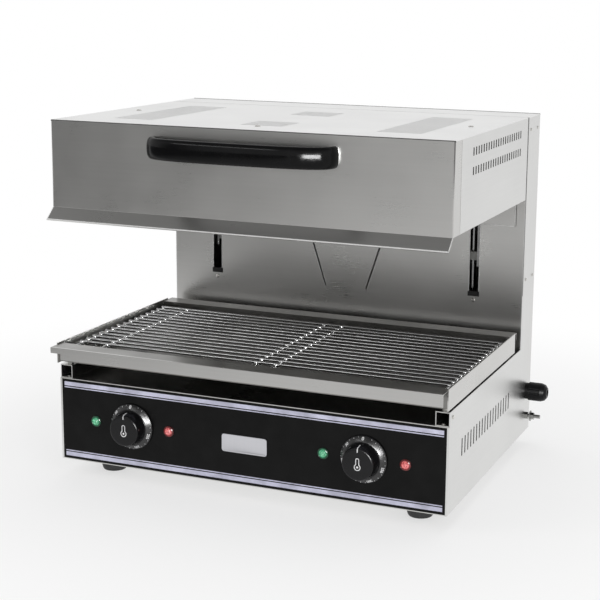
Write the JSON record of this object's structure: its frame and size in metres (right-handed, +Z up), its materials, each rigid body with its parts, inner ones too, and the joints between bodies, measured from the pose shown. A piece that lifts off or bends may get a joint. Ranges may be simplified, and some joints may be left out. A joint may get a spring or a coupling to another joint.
{
  "type": "lift salamander grill",
  "caption": "Counter-top electric salamander: sliding heated hood on a rear column over a pull-out drip tray with wire grid, on a cabinet with thermostats.",
  "frame": {"origin": "middle of the overall footprint, on the plane the feet stand on", "axes": "+X to the right seen from the front, +Y to the rear, +Z up; the controls face -Y"},
  "size_m": [0.6356, 0.4796, 0.5316],
  "materials": {
    "brushed_sheet": "brushed stainless sheet",
    "bright_sheet": "fine-ground stainless sheet",
    "machined_steel": "turned and ground steel",
    "zinc_steel": "zinc-plated steel",
    "black_glass_enamel": "gloss black front sheet",
    "pale_print": "pale printed film",
    "badge_silver": "satin blank plate",
    "black_rubber": "matt rubber",
    "green_lens": "translucent green lens",
    "red_lens": "translucent red lens",
    "black_plastic": "semi-gloss thermoset",
    "switch_case": "moulded switch case",
    "ceramic": "unglazed ceramic",
    "fibre": "ceramic-fibre blanket",
    "chromed_wire": "bright chromed wire",
    "grey_bush": "sliding plastic",
    "spring_black": "black lacquer",
    "element_sheath": "oxidised sheath",
    "reflector_steel": "bright reflector sheet",
    "nickel": "nickel-plated fasteners"
  },
  "bodies": {
    "cabinet": {"base_floor": "brushed_sheet", "base_side_left": "bright_sheet", "base_side_right": "bright_sheet", "base_top_plate": "brushed_sheet", "control_fascia": "black_glass_enamel", "fascia_stripes": "pale_print", "badge_plate": "badge_silver", "feet": "black_rubber", "green_lamps": "green_lens", "red_lamps": "red_lens", "thermostat_left": "switch_case", "thermostat_right": "switch_case", "terminal_block": "ceramic", "rail_left": "brushed_sheet", "rail_right": "brushed_sheet", "rail_cover_left": "bright_sheet", "rail_cover_right": "bright_sheet", "back_panel": "brushed_sheet", "column_side_left": "bright_sheet", "column_side_right": "bright_sheet", "rear_cover": "brushed_sheet", "column_top": "bright_sheet", "guide_rod_left": "machined_steel", "guide_rod_right": "machined_steel", "guide_brackets": "zinc_steel", "slot_stops": "black_rubber", "gas_tube_left": "spring_black", "gas_tube_right": "spring_black", "body_screws": "nickel", "cable_gland": "black_plastic", "earth_stud": "nickel"},
    "hood": {"hood_front_panel": "brushed_sheet", "hood_top_panel": "bright_sheet", "hood_side_left": "bright_sheet", "hood_side_right": "bright_sheet", "hood_rear_plate": "brushed_sheet", "reflector": "reflector_steel", "ceramic_blanket": "fibre", "heating_element_left": "element_sheath", "heating_element_right": "element_sheath", "element_supports": "reflector_steel", "element_terminals": "ceramic", "handle": "black_plastic", "hood_screws": "nickel", "lift_arm_left": "machined_steel", "lift_arm_right": "machined_steel", "guide_bushes": "grey_bush", "gas_rod_left": "machined_steel", "gas_rod_right": "machined_steel"},
    "tray": {"drip_tray": "brushed_sheet", "tray_side_left": "bright_sheet", "tray_side_right": "bright_sheet"},
    "grid": {"wire_grid": "chromed_wire"},
    "knob_left": {"knob_left": "black_plastic", "thermostat_shaft_left": "machined_steel"},
    "knob_right": {"knob_right": "black_plastic", "thermostat_shaft_right": "machined_steel"}
  },
  "joints": [
    {"name": "hood_lift", "type": "slide", "parent": "cabinet", "child": "hood", "axis": [0, 0, 1], "range_m": [-0.15, 0]},
    {"name": "knob_left_turn", "type": "hinge", "parent": "cabinet", "child": "knob_left", "pos_m": [-0.1962, -0.1918, 0.09], "axis": [0, 1, 0], "range_deg": [0, 300]},
    {"name": "knob_right_turn", "type": "hinge", "parent": "cabinet", "child": "knob_right", "pos_m": [0.1638, -0.1918, 0.09], "axis": [0, 1, 0], "range_deg": [0, 300]},
    {"name": "tray_slide", "type": "slide", "parent": "cabinet", "child": "tray", "axis": [0, -1, 0], "range_m": [0, 0.22]},
    {"name": "grid_lift_out", "type": "slide", "parent": "tray", "child": "grid", "axis": [0, 0, 1], "range_m": [0, 0.06]}
  ]
}
